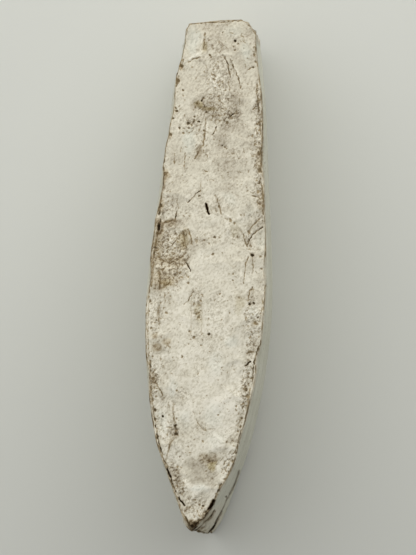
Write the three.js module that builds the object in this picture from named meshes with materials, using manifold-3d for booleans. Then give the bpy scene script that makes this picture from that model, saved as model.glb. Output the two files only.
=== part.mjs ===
// A thick-butted flint axe head: a single stone, knapped to a four-sided bar that thins to a curved
// cutting edge. Its two broad faces are ground smooth, and its two narrow sides keep their flake scars.
//
// Millimetres. It stands on one narrow side: +Z is up, +Y runs from the cutting edge to the butt,
// and X is the thickness. The cutting edge lies towards -Y.
import * as THREE from "three";
import { mergeVertices } from "three/addons/utils/BufferGeometryUtils.js";
import Module from "manifold-3d";

// Overall sizes
const length = 160;
const bladeWidth = 61;
const buttWidth = 44;
const upperSideThickness = 36.5;
const lowerSideThickness = 30;
const broadCrown = 2.8;
const sideCrown = 0.9;
const upperSwell = 1.6;
const lowerSwell = 1.4;

// Ends
const edgeBow = 0.6;
const leanAngle = THREE.MathUtils.degToRad(4);
const buttObliqueAngle = THREE.MathUtils.degToRad(6.3);

// The stone is a little twisted from end to end, as hand-worked ones are.
const twistAngle = THREE.MathUtils.degToRad(4.2);

// Knapping, use and grinding
const sideScarDepth = 1.1;
const broadScarDepth = 0.8;
const buttScarDepth = 1.3;
const nickDepth = 0.7;
const restFlatDepth = 1.2;

// Cutters reach this far out of the stone, so that no skin is left above a scar.
const overrun = 6;

// Place along the stone, from the cutting edge to the butt, and the thickness of the narrow side there.
const sideThicknessShares = [
  [0, 0],
  [0.02, 0.165],
  [0.045, 0.29],
  [0.085, 0.44],
  [0.15, 0.645],
  [0.24, 0.83],
  [0.34, 0.95],
  [0.45, 1],
  [0.57, 0.95],
  [0.7, 0.86],
  [0.85, 0.76],
  [1, 0.6],
];

// Fineness of the stone before it is knapped. Rings crowd together towards the cutting edge.
const rings = 30;
const ringCrowdingPower = 1.4;
const broadSteps = 10;
const sideSteps = 4;
const scarSteps = 12;
const nickSteps = 8;

const wasm = await Module();
wasm.setup();

// A smooth function through rows of [place, value].
function curveThrough(rows) {
  const curve = new THREE.CubicInterpolant(
    rows.map(([place]) => place),
    rows.map(([, value]) => value),
    1,
  );
  return (place) => curve.evaluate(place)[0];
}

const thicknessShareAt = curveThrough(sideThicknessShares);

// A swelling of that size, halfway between two ends where it is nothing.
const swellAt = (size, place) => size * Math.sin(Math.PI * place);

// A point on the stone before it is knapped. s runs from 0 at the cutting edge to 1 at the butt, and
// across from -1 to 1 round the stone: up the right face, over the top, down the left, back below.
function pointOn(face, s, across) {
  const low = -swellAt(lowerSwell, s);
  const high =
    THREE.MathUtils.lerp(bladeWidth, buttWidth, s) + swellAt(upperSwell, s);
  const middle = (low + high) / 2;
  const half = (high - low) / 2;
  const share = thicknessShareAt(s);
  const heightShare = { right: across, top: 1, left: -across, bottom: -1 }[face];
  const sideHalf =
    (share / 2) *
    THREE.MathUtils.lerp(
      lowerSideThickness,
      upperSideThickness,
      (1 + heightShare) / 2,
    );
  const broadHalf = sideHalf + broadCrown * share * (1 - across ** 2);
  const rise = sideCrown * share * (1 - across ** 2);
  const [straightX, z] = {
    right: [broadHalf, middle + across * half],
    top: [-across * sideHalf, high + rise],
    left: [-broadHalf, middle - across * half],
    bottom: [across * sideHalf, low - rise],
  }[face];
  const twist = Math.tan(twistAngle * (s - 1 / 2)) * (z - middle);
  const bow = edgeBow * ((z - middle) / half) ** 2 * (1 - s) ** 2;
  const lean = Math.tan(leanAngle) * (z - middle);
  const oblique = Math.tan(buttObliqueAngle) * straightX * s;
  return new THREE.Vector3(
    straightX + twist,
    length * (s - 1 / 2) + bow + lean + oblique,
    z,
  );
}

// A closed solid. Points that coincide are joined, and triangles that this leaves flat are dropped.
function solidOf(geometry) {
  const bare = geometry.clone();
  bare.deleteAttribute("normal");
  bare.deleteAttribute("uv");
  const merged = mergeVertices(bare);
  const corners = [];
  for (let i = 0; i < merged.index.count; i += 3) {
    const [a, b, c] = merged.index.array.slice(i, i + 3);
    if (a !== b && b !== c && c !== a) corners.push(a, b, c);
  }
  return new wasm.Manifold(
    new wasm.Mesh({
      numProp: 3,
      vertProperties: merged.attributes.position.array,
      triVerts: new Uint32Array(corners),
    }),
  );
}

// The stone before knapping: rings of points, joined from the cutting edge to the flat butt.
function blankStone() {
  const perimeter = [
    ["right", broadSteps],
    ["top", sideSteps],
    ["left", broadSteps],
    ["bottom", sideSteps],
  ].flatMap(([face, steps]) =>
    Array.from({ length: steps }, (_, i) => [face, (2 * i) / steps - 1]),
  );
  const around = perimeter.length;
  const points = [];
  const corners = [];
  for (let ring = 0; ring <= rings; ring += 1) {
    const s = (ring / rings) ** ringCrowdingPower;
    for (const [face, across] of perimeter)
      points.push(pointOn(face, s, across));
  }
  for (let ring = 0; ring < rings; ring += 1)
    for (let i = 0; i < around; i += 1) {
      const here = ring * around + i;
      const next = ring * around + ((i + 1) % around);
      corners.push(here, here + around, next);
      corners.push(next, here + around, next + around);
    }
  const buttRing = rings * around;
  const buttMiddle = points.length;
  points.push(pointOn("right", 1, 0).lerp(pointOn("left", 1, 0), 1 / 2));
  for (let i = 0; i < around; i += 1)
    corners.push(buttRing + ((i + 1) % around), buttRing + i, buttMiddle);
  const geometry = new THREE.BufferGeometry().setFromPoints(points);
  geometry.setIndex(corners);
  return solidOf(geometry);
}

// How deep a flake scar is against the distance from the blow, as shares. It is deepest under the
// blow, ripples once and ends in a small step.
const scarDepthShares = [
  [0, 1],
  [0.4, 0.78],
  [0.62, 0.46],
  [0.84, 0.34],
  [1, 0.1],
];

// The solid that takes one flake off a face, from the place where it was struck to the place where
// it ended. It is round about the point of the blow, then stretched to that reach and width.
function flake({ face, from, to, width, depth, steps = scarSteps }) {
  const start = pointOn(face, ...from);
  const end = pointOn(face, ...to);
  const into = end.clone().sub(start);
  const reach = into.length();
  into.normalize();
  const stepShare = 0.01;
  const [s, across] = from.map((value, i) => (value + to[i]) / 2);
  const along = pointOn(face, s + stepShare, across).sub(
    pointOn(face, s, across),
  );
  const over = pointOn(face, s, across + stepShare).sub(
    pointOn(face, s, across),
  );
  const out = along.cross(over).projectOnPlane(into).normalize();
  const bowl = scarDepthShares.map(
    ([radius, share]) => new THREE.Vector2(radius, -share),
  );
  const lid = overrun / depth;
  const cutter = new THREE.LatheGeometry(
    [...bowl, new THREE.Vector2(1, lid), new THREE.Vector2(0, lid)],
    steps,
  );
  const placed = new THREE.Matrix4()
    .makeBasis(out.clone().cross(into), out, into)
    .scale(new THREE.Vector3(width / 2, depth, reach))
    .setPosition(start);
  return solidOf(cutter.applyMatrix4(placed));
}

// Flakes struck from one long edge of a face. startAcross is that edge.
function edgeFlakes(face, startAcross, depth, shares) {
  return shares.map(([s, driftShare, reachShare, widthShare, depthShare]) =>
    flake({
      face,
      from: [s, startAcross],
      to: [s + driftShare, startAcross * (1 - 2 * reachShare)],
      width: widthShare * length,
      depth: depthShare * depth,
    }),
  );
}

// Rows of shares for edgeFlakes: place along the stone, drift along it, reach across the face, width
// along the stone, and depth. On the top, -1 is the right edge and 1 the left.
const topFromRightShares = [
  [0.965, -0.01, 0.36, 0.08, 0.6],
  [0.89, -0.02, 0.42, 0.11, 0.8],
  [0.8, -0.01, 0.36, 0.1, 0.7],
  [0.7, 0, 0.3, 0.13, 0.6],
  [0.57, -0.03, 0.36, 0.1, 1],
  [0.48, -0.01, 0.28, 0.13, 0.8],
  [0.36, 0, 0.26, 0.1, 0.9],
  [0.29, 0.01, 0.32, 0.08, 1],
  [0.21, 0, 0.38, 0.1, 0.7],
  [0.12, 0, 0.45, 0.08, 0.8],
  [0.055, -0.01, 0.6, 0.05, 0.7],
];
const topFromLeftShares = [
  [0.965, 0, 0.32, 0.09, 0.9],
  [0.895, -0.01, 0.42, 0.1, 0.8],
  [0.81, -0.02, 0.36, 0.12, 0.6],
  [0.72, -0.01, 0.42, 0.13, 0.7],
  [0.62, 0, 0.36, 0.08, 0.8],
  [0.54, -0.02, 0.4, 0.13, 1.2],
  [0.43, 0, 0.3, 0.12, 0.7],
  [0.31, 0.01, 0.24, 0.12, 0.9],
  [0.22, 0.01, 0.34, 0.13, 1],
  [0.12, 0, 0.42, 0.09, 0.8],
];
const bottomFromLeftShares = [
  [0.95, 0, 0.44, 0.1, 0.9],
  [0.86, -0.01, 0.36, 0.1, 1],
  [0.76, 0.01, 0.3, 0.12, 0.8],
  [0.65, 0, 0.24, 0.12, 1.1],
  [0.53, -0.02, 0.28, 0.14, 0.9],
  [0.4, 0, 0.22, 0.12, 1.1],
  [0.3, 0.01, 0.3, 0.1, 0.8],
  [0.21, 0, 0.4, 0.1, 0.9],
  [0.12, 0.01, 0.46, 0.09, 1],
];
const bottomFromRightShares = [
  [0.965, 0, 0.38, 0.08, 1],
  [0.89, 0.01, 0.4, 0.1, 0.8],
  [0.8, 0, 0.3, 0.11, 0.9],
  [0.69, -0.01, 0.26, 0.13, 0.8],
  [0.58, 0.01, 0.22, 0.11, 1.2],
  [0.47, 0, 0.26, 0.13, 0.8],
  [0.35, -0.01, 0.24, 0.11, 1],
  [0.25, 0, 0.34, 0.11, 0.8],
  [0.15, 0.01, 0.42, 0.1, 0.9],
  [0.065, 0, 0.5, 0.06, 1],
];

// Grinding has left only the deepest scars on the broad faces, mostly towards the butt. On the
// right, -1 is the lower edge and 1 the upper. On the left they are the other way round.
const rightFromLowerShares = [
  [0.93, -0.02, 0.42, 0.12, 1],
  [0.8, -0.01, 0.3, 0.14, 0.8],
  [0.6, 0.01, 0.14, 0.09, 0.9],
  [0.4, 0, 0.1, 0.07, 0.8],
  [0.2, 0.01, 0.08, 0.05, 0.9],
];
const rightFromUpperShares = [
  [0.9, 0.01, 0.26, 0.12, 0.7],
  [0.72, 0, 0.12, 0.08, 0.7],
  [0.5, 0, 0.06, 0.06, 0.7],
  [0.33, 0, 0.08, 0.06, 0.9],
];
const leftFromUpperShares = [
  [0.95, 0, 0.36, 0.1, 1],
  [0.83, -0.02, 0.34, 0.13, 0.9],
  [0.66, 0, 0.18, 0.1, 0.8],
  [0.49, 0.01, 0.12, 0.08, 1],
  [0.3, 0, 0.1, 0.07, 0.8],
];
const leftFromLowerShares = [
  [0.88, 0.01, 0.3, 0.13, 1],
  [0.7, -0.01, 0.2, 0.11, 0.8],
  [0.45, 0, 0.1, 0.08, 0.9],
  [0.26, 0, 0.09, 0.06, 0.8],
  [0.12, 0.01, 0.1, 0.05, 1],
];

// The butt was trimmed by blows on its rim, which ran down the faces: face, then place across it,
// reach along the stone, width across the face, and depth, as shares.
const buttFlakeShares = [
  ["top", 0.5, 0.03, 0.6, 0.4],
  ["top", -0.75, 0.04, 0.5, 0.6],
  ["right", 0.8, 0.0125, 0.9, 3.8],
  ["right", 0.75, 0.031, 0.8, 2.2],
  ["right", -0.1, 0.1, 0.34, 0.9],
  ["right", -0.75, 0.14, 0.3, 0.9],
  ["left", 0.4, 0.12, 0.36, 0.8],
  ["left", -0.95, 0.014, 0.6, 0.8],
  ["left", -0.5, 0.025, 0.7, 0.9],
  ["left", -0.1, 0.09, 0.3, 0.9],
  ["bottom", -0.2, 0.07, 0.6, 0.6],
];
const buttFlakes = () =>
  buttFlakeShares.map(([face, across, reachShare, widthShare, depthShare]) =>
    flake({
      face,
      from: [1, across],
      to: [1 - reachShare, across],
      width: widthShare * pointOn(face, 1, -1).distanceTo(pointOn(face, 1, 1)),
      depth: depthShare * buttScarDepth,
    }),
  );

// Nicks that use has left along the cutting edge: face, then place across it, width across the
// face, and reach up the bevel, as shares.
const nickShares = [
  ["right", 0.74, 0.1, 0.02],
  ["right", 0.48, 0.08, 0.016],
  ["right", 0.1, 0.1, 0.02],
  ["right", -0.35, 0.07, 0.014],
  ["right", -0.8, 0.12, 0.026],
  ["left", 0.7, 0.1, 0.022],
  ["left", 0.3, 0.07, 0.014],
  ["left", -0.15, 0.09, 0.018],
  ["left", -0.5, 0.08, 0.016],
  ["left", -0.78, 0.1, 0.02],
];
const edgeNicks = () =>
  nickShares.map(([face, across, widthShare, reachShare]) =>
    flake({
      face,
      from: [0, across],
      to: [reachShare, across],
      width: widthShare * bladeWidth,
      depth: nickDepth,
      steps: nickSteps,
    }),
  );

// The level at which the lower side is ground flat, and the block that takes away what lies below.
const restLevel = restFlatDepth - lowerSwell - sideCrown;
function belowRest() {
  const block = new THREE.BoxGeometry(
    2 * upperSideThickness,
    2 * length,
    2 * overrun,
  );
  return solidOf(block.translate(0, 0, restLevel - overrun));
}

function knappedStone() {
  const cuts = [
    ...edgeFlakes("top", -1, sideScarDepth, topFromRightShares),
    ...edgeFlakes("top", 1, sideScarDepth, topFromLeftShares),
    ...edgeFlakes("bottom", -1, sideScarDepth, bottomFromLeftShares),
    ...edgeFlakes("bottom", 1, sideScarDepth, bottomFromRightShares),
    ...edgeFlakes("right", -1, broadScarDepth, rightFromLowerShares),
    ...edgeFlakes("right", 1, broadScarDepth, rightFromUpperShares),
    ...edgeFlakes("left", -1, broadScarDepth, leftFromUpperShares),
    ...edgeFlakes("left", 1, broadScarDepth, leftFromLowerShares),
    ...buttFlakes(),
    ...edgeNicks(),
    belowRest(),
  ];
  return cuts.reduce((stone, cut) => stone.subtract(cut), blankStone());
}

// The finished stone as a mesh, with its bounding box centred over the origin and its foot at zero.
function axeHead() {
  const made = knappedStone().getMesh();
  const geometry = new THREE.BufferGeometry();
  geometry.setAttribute(
    "position",
    new THREE.BufferAttribute(made.vertProperties, made.numProp),
  );
  geometry.setIndex(new THREE.BufferAttribute(made.triVerts, 1));
  geometry.computeBoundingBox();
  const middle = geometry.boundingBox.getCenter(new THREE.Vector3());
  geometry.translate(-middle.x, -middle.y, -restLevel);
  geometry.computeVertexNormals();
  const patinatedFlint = new THREE.MeshStandardMaterial({
    color: "#d3cdbb",
    roughness: 0.62,
    metalness: 0,
  });
  const mesh = new THREE.Mesh(geometry, patinatedFlint);
  mesh.name = "axe_head";
  return mesh;
}

const axe = new THREE.Group();
axe.add(axeHead());
export default axe;
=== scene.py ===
"""A thick-butted flint axe head, dressed over its CAD solid.

It is one stone. Its two broad faces are ground, and its two narrow sides and its butt keep the scars
of knapping under a chalky patina. Lengths are metres unless a name says otherwise. A name that ends
in px holds places in the photograph, whose frame is 416 by 555 pixels.
"""

import math
import random

import bmesh
import bpy
import numpy as np
from mathutils import Matrix, Vector, kdtree, noise


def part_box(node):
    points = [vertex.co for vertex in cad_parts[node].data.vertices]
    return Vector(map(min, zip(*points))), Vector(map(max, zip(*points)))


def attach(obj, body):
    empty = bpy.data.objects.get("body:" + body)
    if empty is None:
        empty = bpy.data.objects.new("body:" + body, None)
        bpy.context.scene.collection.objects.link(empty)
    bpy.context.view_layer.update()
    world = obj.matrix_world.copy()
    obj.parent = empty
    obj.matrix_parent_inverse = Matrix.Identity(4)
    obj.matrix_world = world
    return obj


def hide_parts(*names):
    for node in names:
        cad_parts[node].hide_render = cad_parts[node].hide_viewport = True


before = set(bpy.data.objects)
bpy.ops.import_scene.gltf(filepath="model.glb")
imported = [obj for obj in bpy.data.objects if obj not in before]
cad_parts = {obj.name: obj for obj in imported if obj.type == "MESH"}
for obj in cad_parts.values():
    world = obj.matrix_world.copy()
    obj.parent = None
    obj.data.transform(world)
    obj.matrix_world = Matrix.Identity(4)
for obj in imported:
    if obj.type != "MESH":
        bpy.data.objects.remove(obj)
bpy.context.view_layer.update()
stone_low, stone_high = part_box("axe_head")

bl_info = {
    "name": "Flint axe head",
    "version": (1, 0, 0),
    "blender": (4, 5, 0),
    "location": "View3D > Sidebar > Flint axe",
    "description": "A knapped and ground flint axe head on a studio floor",
    "category": "Add Mesh",
}

MM = 0.001
PHOTO_WIDTH = 416
PHOTO_HEIGHT = 555


# Cracks and soiled edges on the upper side, placed in the photograph's pixels: the points that a
# line passes through, its width and its strength.
CRACKS_PX = (
    # By the butt
    ([(204.9, 33), (204.3, 42), (203.6, 49.5)], 1.6, 0.55),
    ([(200.5, 57.3), (194, 58.9), (188, 62.3)], 1, 0.55),
    ([(205.5, 64.8), (207.2, 72), (206.8, 77)], 1, 0.35),
    ([(199.7, 76.4), (205.5, 76.4)], 0.9, 0.3),
    ([(222, 55.5), (224.5, 57), (228, 64.5), (229.2, 72), (230.4, 77)], 1.4, 0.75),
    ([(228.7, 81.5), (229.2, 90)], 1.2, 0.45),
    ([(230.4, 58.5), (233.7, 68), (237.8, 76.5), (240.5, 88)], 1.2, 0.65),
    ([(218, 39.9), (223.8, 45.7), (221, 48)], 0.9, 0.4),
    ([(245.3, 64.5), (245.3, 68.5)], 1, 0.55),
    ([(247.8, 70), (251.5, 67.8), (253.8, 67)], 1, 0.55),
    ([(240.5, 35.5), (243.5, 37), (242.8, 40.5), (245.5, 43)], 1, 0.4),
    # Across the stone above the middle
    ([(201.3, 100.5), (203.9, 97.8)], 1.8, 0.9),
    ([(192.6, 122), (194.4, 119.9)], 1.9, 0.9),
    ([(198, 121.4), (199.2, 122)], 1.9, 0.9),
    ([(213.8, 107), (214.2, 117)], 1, 0.45),
    ([(220.8, 110), (221, 117)], 1, 0.4),
    ([(218.4, 104.9), (221, 108), (224, 109.4)], 1.1, 0.55),
    ([(236.2, 104.5), (236.6, 112)], 1.1, 0.55),
    ([(239.5, 98), (239.8, 104)], 1, 0.45),
    ([(228.3, 118), (231, 115.6), (234, 114.1), (238.8, 112.8)], 1.5, 0.85),
    ([(215.5, 119), (215.6, 124)], 0.9, 0.45),
    ([(216.2, 126.5), (214.8, 131), (212.8, 134.5)], 1.2, 0.8),
    ([(205.8, 118), (205.3, 126), (204.6, 133)], 1.1, 0.5),
    ([(252.6, 109.6), (255.5, 107.3), (258.6, 105.7)], 1.2, 0.65),
    ([(204.5, 136), (203.3, 145), (199.6, 149.5), (195, 158.5)], 1.8, 0.6),
    ([(174.5, 154), (174.6, 163)], 1.2, 0.45),
    ([(184.9, 153), (184.5, 163), (183.8, 170)], 1, 0.5),
    ([(181.3, 147), (181, 152)], 0.9, 0.4),
    # Round the slit
    ([(200.7, 181), (200.6, 190)], 0.9, 0.4),
    ([(200.7, 190.5), (196, 193.2), (193.4, 197.5), (188.2, 202)], 1.2, 0.75),
    ([(198.5, 195.6), (200.8, 196)], 1.2, 0.7),
    ([(204.2, 170.5), (206.8, 172.3)], 1.3, 0.45),
    ([(209.8, 179.3), (213.3, 180.6)], 1.3, 0.45),
    ([(206, 204.4), (207, 208.6), (208.4, 213.4)], 2.5, 1),
    ([(215.6, 195), (218, 203.6), (220.1, 208.8), (221, 214.3)], 1.3, 0.6),
    ([(252, 195.6), (257, 196.8), (261, 199)], 1.2, 0.6),
    ([(177, 199.5), (178.3, 208.7)], 1, 0.45),
    ([(176.6, 211), (175.9, 217), (175.4, 221)], 1.4, 0.8),
    # In the large stained scar, and the branching cracks opposite
    ([(164, 222.5), (169, 221), (174.6, 220)], 2, 0.55),
    ([(188, 229), (190.6, 236), (191.8, 244)], 1.5, 0.45),
    ([(183, 232), (184.6, 240), (186, 248)], 1.7, 0.45),
    ([(158, 256), (163, 260.5), (170, 263), (177, 260), (183, 256)], 2, 0.5),
    ([(161, 250), (160, 258), (162, 266)], 1.4, 0.45),
    ([(176, 262), (178, 268), (176.6, 275)], 1.4, 0.4),
    ([(158.5, 270), (160.4, 279), (160, 289)], 2.4, 0.55),
    ([(160, 289), (165, 286), (170, 283)], 1.8, 0.5),
    ([(153.8, 262), (152.4, 272), (151.6, 286)], 2, 0.55),
    ([(166.8, 248.3), (171.2, 246), (173.5, 243), (176.2, 240.3)], 1.3, 0.65),
    ([(154.3, 247.4), (158.3, 249)], 1.6, 0.85),
    ([(184.6, 259.9), (187.8, 264.8), (190.4, 271.3)], 1.5, 0.85),
    ([(259.5, 218.5), (256, 222), (250.4, 229), (248, 231.8)], 1.6, 0.5),
    ([(263, 226.8), (257, 230.9), (252.5, 234.6), (249.2, 240)], 1.6, 0.75),
    ([(249.2, 240), (248.4, 243), (247.1, 246.5)], 1.8, 0.85),
    ([(240.5, 229.5), (243, 234), (244, 238), (247.1, 246.5)], 1.4, 0.65),
    ([(248.2, 256.5), (246.2, 262), (244.5, 275), (244, 283)], 1.2, 0.55),
    ([(252.3, 257), (253, 266), (252.7, 274)], 1.1, 0.55),
    # Below the middle
    ([(193.6, 289.1), (190.9, 295.4), (188.2, 300.7), (184.2, 303.8)], 1, 0.6),
    ([(164.8, 293), (164.7, 303.5)], 1.2, 0.55),
    ([(158.5, 306), (158.3, 317), (159.2, 324)], 2.2, 0.4),
    ([(191.4, 300), (191.2, 318), (191.5, 332)], 0.9, 0.25),
    ([(201.7, 302), (201.6, 318), (201.3, 333)], 0.9, 0.25),
    ([(252.5, 287.5), (250, 291), (248.8, 296), (248.6, 300)], 1.5, 0.6),
    ([(253.8, 289), (253.4, 294), (251.5, 298)], 1, 0.4),
    ([(247.1, 353), (250, 351.8), (253.2, 351.3)], 2, 0.6),
    ([(245.3, 366), (247.8, 363.2), (250.9, 361.6)], 1.8, 0.9),
    ([(232, 366.8), (233.6, 363.6)], 1, 0.4),
    ([(243, 380), (246, 377.5), (250, 378.6)], 1.1, 0.55),
    ([(242.6, 396), (245.6, 396.8), (248, 394.2)], 1.2, 0.65),
    ([(243, 388.4), (244.6, 391.6)], 1.1, 0.6),
    ([(242.4, 409), (244.6, 404.8), (247.2, 405.4)], 1.2, 0.6),
    ([(236, 426), (239.4, 423.4), (240.2, 419.8)], 1.1, 0.5),
    ([(152, 373), (155, 376.6), (153.6, 381)], 1.3, 0.6),
    ([(156.8, 383), (157.8, 388.4), (161, 391)], 1.2, 0.55),
    ([(150.2, 361), (150.4, 370.5)], 1.8, 0.75),
    ([(150.6, 386), (151, 395)], 1.5, 0.7),
    # Towards the blade
    ([(157.8, 387), (161, 390.5), (162.4, 395), (162.4, 400)], 1.3, 0.55),
    ([(173.2, 403), (173, 412)], 1.4, 0.3),
    ([(173, 412), (174.4, 420), (176.2, 434.8)], 1.8, 0.6),
    ([(176.2, 434.8), (170.7, 442.2), (169, 448), (165.5, 462)], 1.4, 0.45),
    ([(166.5, 427.5), (171.5, 427.8)], 1.2, 0.55),
    ([(193.4, 411), (195, 414.8)], 1.1, 0.45),
    ([(196.5, 420), (199, 424.5), (201.4, 428.1), (204.7, 429.8)], 1.2, 0.5),
    ([(207, 429.4), (215.5, 429)], 0.9, 0.35),
    ([(166.6, 469.5), (168.4, 473), (170.8, 477.5)], 2, 1),
    ([(178.8, 497.3), (180.4, 501.3), (184.5, 505.6)], 1.6, 0.95),
    # Along the butt and the left arris
    ([(188.5, 25.5), (190.7, 23.8), (200, 23), (214, 22.4), (228, 21.8)], 1.1, 0.65),
    ([(228, 21.8), (236, 20.9), (243, 20.6), (248, 24.3), (254, 28.5)], 1.1, 0.6),
    ([(188.5, 25.5), (185, 36), (182.6, 48), (179.5, 61), (176.2, 76)], 1.2, 0.7),
    ([(182.6, 60), (181.4, 68)], 2, 0.6),
    ([(178.3, 76), (176.2, 86)], 1.6, 0.65),
    ([(176.2, 76), (173.6, 92), (170.2, 111), (167, 134)], 1, 0.35),
    ([(172.2, 106), (170.5, 118)], 2, 0.6),
    ([(169.5, 128), (168.3, 138)], 1.6, 0.5),
    ([(167, 134), (164.5, 156), (161.8, 181), (159.5, 205)], 1.2, 0.5),
    ([(163.8, 168), (163, 176), (162, 186)], 1.8, 0.75),
    ([(161.6, 190), (160.4, 200), (159.2, 214)], 1.9, 0.7),
    ([(160.2, 219.5), (159.4, 225)], 1.6, 0.8),
    ([(159.2, 224), (158.4, 229)], 2.8, 0.95),
    ([(158.4, 230), (156.6, 239), (155.4, 247)], 2.2, 0.6),
    ([(155.4, 247), (152, 264), (149.7, 281), (148.4, 300)], 1.6, 0.6),
    ([(148.4, 300), (147.8, 320), (147.9, 338), (149, 357)], 1.2, 0.5),
    ([(149, 357), (150.2, 381), (152.2, 400), (154.4, 418)], 1.5, 0.5),
    ([(154.4, 418), (157.6, 436), (161.6, 454), (165.8, 464)], 1.6, 0.85),
    ([(165.8, 464), (170.6, 477), (172.8, 485), (175.6, 492)], 1.5, 0.8),
    ([(175.6, 492), (178.5, 503), (182.2, 512), (186.5, 519.5)], 1, 0.4),
    # Along the right arris
    ([(253, 28), (256, 36), (254.8, 54), (256, 62)], 1, 0.3),
    ([(257, 84), (256.6, 91), (258.6, 102), (258.4, 112)], 1.8, 0.6),
    ([(259.6, 120), (260.8, 134)], 1.6, 0.5),
    ([(260.4, 148), (261.6, 160), (261.2, 172)], 2, 0.6),
    ([(261.6, 184), (262.6, 198), (263.4, 214)], 1.7, 0.5),
    ([(262.6, 296), (262, 309), (260, 322)], 1.6, 0.4),
    ([(258.4, 347), (255.4, 357), (253.6, 368), (252.6, 381)], 1.6, 0.75),
    ([(250.6, 388), (248.4, 399), (246.4, 410)], 1.6, 0.45),
    ([(241.4, 430), (239.4, 439), (236.6, 449)], 1.7, 0.75),
    ([(234, 461), (230.4, 470), (226, 478.5)], 1.2, 0.5),
    ([(221.6, 484), (218.4, 490), (215, 498.5)], 2, 0.8),
    ([(220.5, 461), (223.4, 456.5)], 0.9, 0.55),
    ([(223.4, 464.6), (227.6, 459)], 0.9, 0.6),
    ([(225, 469.4), (229.6, 463)], 0.9, 0.5),
    ([(228.6, 461), (232.2, 456.6)], 0.9, 0.55),
    ([(220.8, 473), (225, 467.4)], 0.9, 0.5),
    ([(233.6, 454.4), (235.6, 450)], 1, 0.6),
    # The chip, the bevel and the corner of the cutting edge
    ([(213.8, 500.4), (211.6, 505.4), (208.8, 510)], 3.8, 1),
    ([(209.8, 509), (206.4, 512)], 2.8, 0.9),
    ([(211, 508.5), (207, 514.2), (203.2, 519.4)], 3.2, 0.8),
    ([(214.6, 511), (210.4, 518), (204, 523)], 2.9, 0.8),
    ([(207, 526.5), (202, 528.4), (197, 527)], 1.2, 0.6),
    ([(201.5, 519.5), (197.5, 523), (194.5, 527)], 2.4, 0.85),
    ([(185.6, 517.5), (188, 524), (191.4, 530)], 2.4, 0.9),
    ([(190.6, 527.5), (194, 529), (196.5, 528)], 2.6, 0.9),
    ([(192, 531), (197, 530.4), (202.6, 532.6), (206, 533.8)], 1.4, 0.95),
    # These four lines draw a dark line along the right outline, from the far corner of the cutting
    # edge up to 239, 471.
    ([(209.2, 532.8), (212.4, 529.4), (216, 522.4)], 2.4, 0.96),
    ([(216, 522.4), (221.8, 511)], 2.2, 0.9),
    ([(222.4, 510), (227.4, 499), (232.4, 489.6)], 1.5, 0.7),
    ([(230, 494), (236, 482.4), (239.4, 471)], 2.3, 0.8),
    ([(226.2, 496.4), (227.6, 498.6)], 1.7, 0.8),
)

# Ridges between the scars, in the same way. They are raised a little, and painted paler along their
# crests as a painted highlight.
RIDGES_PX = (
    ([(202.4, 33), (201.9, 42), (200.8, 50)], 1.8, 0.5),
    ([(203, 51.5), (196, 55.6), (189, 59.4), (183, 61)], 2, 0.7),
    ([(218, 55.5), (226, 53.5), (233, 54.5)], 2.4, 0.6),
    ([(225, 58), (228.8, 66), (231.8, 77)], 2, 0.9),
    ([(230.6, 57), (235.4, 68), (240.4, 81)], 1.8, 0.9),
    ([(232, 88), (236, 94), (241, 99)], 2, 0.4),
    ([(207.4, 118), (207, 128), (206, 137), (202.6, 148)], 2.2, 0.5),
    ([(195, 190), (190, 195), (184, 200)], 1.6, 0.5),
    ([(222, 212), (231, 218), (240, 226)], 1.8, 0.5),
    ([(177, 231.4), (182, 230.4), (188, 228.6)], 2.2, 0.9),
    ([(181.6, 250.6), (188, 252.4)], 2, 0.6),
    ([(160, 266.6), (166, 268.2), (173, 268)], 2, 0.6),
    ([(250.6, 228), (256, 224.6), (262, 219)], 1.6, 0.4),
    ([(242, 262), (241.4, 274), (242, 284)], 1.8, 0.4),
    ([(160, 428), (164, 440), (165.4, 452)], 2.2, 0.6),
    ([(184, 459), (180.6, 466), (180, 473)], 2.4, 0.5),
    ([(184, 486), (194, 489), (204, 486)], 3, 0.4),
    ([(218.2, 511), (215.8, 517), (212.8, 525)], 1.8, 0.9),
    ([(208, 511.5), (203, 517), (197.6, 521)], 1.2, 0.5),
)

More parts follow.
